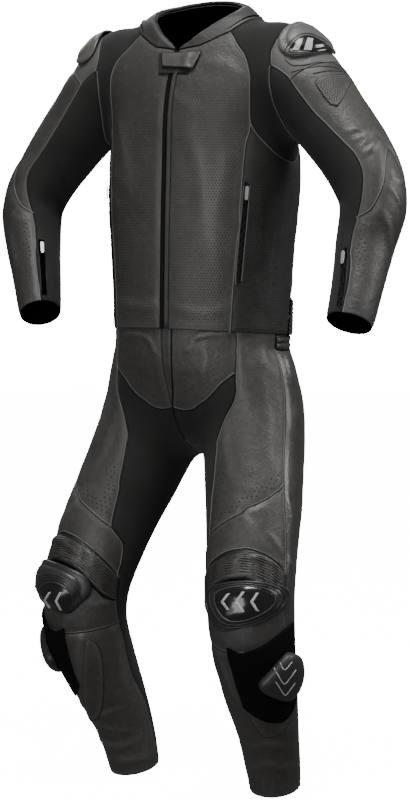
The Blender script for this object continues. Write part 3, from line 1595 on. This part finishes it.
class SUIT_OT_knees(SuitPiece):
    """Make the knee caps with their frames and plain chevrons"""

    bl_idname = "suit.knees"
    bl_label = "Knee caps"

    def execute(self, context):
        trousers = GARMENTS["trousers"]
        scales, radius = KNEE_RIDGES
        for side in SIDES:
            shape = dome(f"knee_shell_{side}", trousers)
            patch("knee_face", side, shape, KNEE_FACES[side])
            surface = tree_of(shape)
            ring = smooth_outline(KNEE_FACES[side])
            lip = on_net(surface, ring + ring[:1], LIP_RISE)
            tubes(f"knee_lip_{side}", [lip], LIP_RADIUS, "frame")
            ridges = ring_lines(surface, KNEE_FACES[side], scales)
            tubes(f"knee_ridges_{side}", ridges, radius, "frame", False)
            arms = [arm for row in KNEE_CHEVRONS[side] for arm in chevron(*row)]
            for i, outline in enumerate(arms):
                patch("knee_bar", f"{side}_{i}", shape, outline, 0)
            shape.free()
        return {"FINISHED"}


class SUIT_OT_sliders(SuitPiece):
    """Make the loop fields below the knees and the sliders on them"""

    bl_idname = "suit.sliders"
    bl_label = "Knee sliders"

    def execute(self, context):
        trousers = GARMENTS["trousers"]
        for side in SIDES:
            field, size = laid_sheet(f"puck_field_{side}", trousers)
            shape = dome(f"puck_{side}", trousers)
            if side == "left":
                surface = tree_of(shape)
                lines = [on_net(surface, line) for line in SLIDER_LINES]
                tubes("slider_lines_left", lines, SLIDER_LINE_RADIUS, "mark")
            shape.free()
        return {"FINISHED"}


class SUIT_OT_patches(SuitPiece):
    """Make the leather tongues on the shins"""

    bl_idname = "suit.patches"
    bl_label = "Shin tongues"

    def execute(self, context):
        for side, outline in SHIN_TONGUES.items():
            patch("shin_tongue", side, GARMENTS["trousers"].net, outline)
        return {"FINISHED"}


class SUIT_OT_stage(SuitPiece):
    """Set the floor, the light and the camera"""

    bl_idname = "suit.stage"
    bl_label = "Stage"

    def execute(self, context):
        stage = context.scene.suit_stage
        net = bmesh.new()
        bmesh.ops.create_circle(net, cap_ends=True, segments=96, radius=FLOOR_RADIUS)
        bmesh.ops.translate(net, verts=net.verts, vec=(0, 0, PACKED_BOX[0].z - FLOOR_DROP))
        mesh = bpy.data.meshes.new("floor")
        net.to_mesh(mesh)
        net.free()
        floor = bpy.data.objects.new("floor", mesh)
        context.scene.collection.objects.link(floor)
        floor.visible_diffuse = floor.visible_glossy = False
        paint = Paint("pale_floor", {
            "Roughness": 0.9, "Specular IOR Level": 0.1,
            "Emission Color": (*stage.floor, 1), "Emission Strength": FLOOR_GLOW,
        })
        cloud = paint.noise(paint.place(), 1.2, 2.0)
        paint.link("Base Color", paint.mixed(cloud, times(0.97, stage.floor), tuple(stage.floor)))
        mesh.materials.append(paint.material)
        world = bpy.data.worlds.new("surroundings")
        world.use_nodes = True
        tree = world.node_tree
        around, behind = tree.nodes["Background"], tree.nodes.new("ShaderNodeBackground")
        for shade, strength in ((around, stage.world), (behind, stage.backdrop)):
            shade.inputs["Color"].default_value = (1, 1, 1, 1)
            shade.inputs["Strength"].default_value = strength
        seen, both = tree.nodes.new("ShaderNodeLightPath"), tree.nodes.new("ShaderNodeMixShader")
        tree.links.new(seen.outputs["Is Camera Ray"], both.inputs["Fac"])
        tree.links.new(around.outputs[0], both.inputs[1])
        tree.links.new(behind.outputs[0], both.inputs[2])
        tree.links.new(both.outputs[0], tree.nodes["World Output"].inputs["Surface"])
        context.scene.world = world
        place, back, right, up = eye()
        for name, (behind_it, to_right, above, size) in LIGHTS.items():
            where = VIEW_POINT + back * behind_it + right * to_right + up * above
            lamp = bpy.data.lights.new(f"{name}_light", "AREA")
            lamp.energy, lamp.size = getattr(stage, name), size
            made = bpy.data.objects.new(f"{name}_light", lamp)
            made.location = where
            made.rotation_euler = (where - VIEW_POINT).to_track_quat("Z", "Y").to_euler()
            context.scene.collection.objects.link(made)
        camera = bpy.data.objects.new("camera", bpy.data.cameras.new("camera"))
        camera.data.sensor_fit = "VERTICAL"
        camera.data.sensor_width = camera.data.sensor_height = 36
        camera.data.lens = 36 * POINTS_PER_METRE * VIEW_DISTANCE / VIEW_SIZE[1]
        camera.matrix_world = Matrix((
            (right.x, up.x, back.x, place.x), (right.y, up.y, back.y, place.y),
            (right.z, up.z, back.z, place.z), (0, 0, 0, 1),
        ))
        context.scene.collection.objects.link(camera)
        context.scene.camera = camera
        return {"FINISHED"}


def tree_from(piece):
    """What finds the nearest place on a finished piece's sheet."""
    net = bmesh.new()
    net.from_mesh(piece.data)
    tree = tree_of(net)
    net.free()
    return tree


PIECE_OPERATORS = (
    SUIT_OT_finishes, SUIT_OT_jacket, SUIT_OT_trousers, SUIT_OT_seams, SUIT_OT_collar,
    SUIT_OT_closures, SUIT_OT_pockets, SUIT_OT_shoulders, SUIT_OT_knees, SUIT_OT_patches,
    SUIT_OT_sliders, SUIT_OT_stage,
)


class SUIT_PT_pieces(bpy.types.Panel):
    """The suit's pieces and settings"""

    bl_idname = "SUIT_PT_pieces"
    bl_label = "Race suit"
    bl_space_type = "VIEW_3D"
    bl_region_type = "UI"
    bl_category = "Suit"

    def draw(self, context):
        for made in PIECE_OPERATORS:
            self.layout.operator(made.bl_idname)
        for group in (context.scene.suit_colours, context.scene.suit_sizes, context.scene.suit_stage):
            box = self.layout.box()
            for name in type(group).__annotations__:
                box.prop(group, name)


CLASSES = (SuitColours, SuitSizes, SuitStage, *PIECE_OPERATORS, SUIT_PT_pieces)


def register():
    for made in CLASSES:
        bpy.utils.register_class(made)
    bpy.types.Scene.suit_colours = bpy.props.PointerProperty(type=SuitColours)
    bpy.types.Scene.suit_sizes = bpy.props.PointerProperty(type=SuitSizes)
    bpy.types.Scene.suit_stage = bpy.props.PointerProperty(type=SuitStage)


def unregister():
    for name in ("suit_colours", "suit_sizes", "suit_stage"):
        delattr(bpy.types.Scene, name)
    for made in reversed(CLASSES):
        bpy.utils.unregister_class(made)


def main():
    """Makes the suit's pieces and the stage."""
    register()
    for made in PIECE_OPERATORS:
        area, name = made.bl_idname.split(".")
        getattr(getattr(bpy.ops, area), name)()


if __name__ == "__main__":
    main()
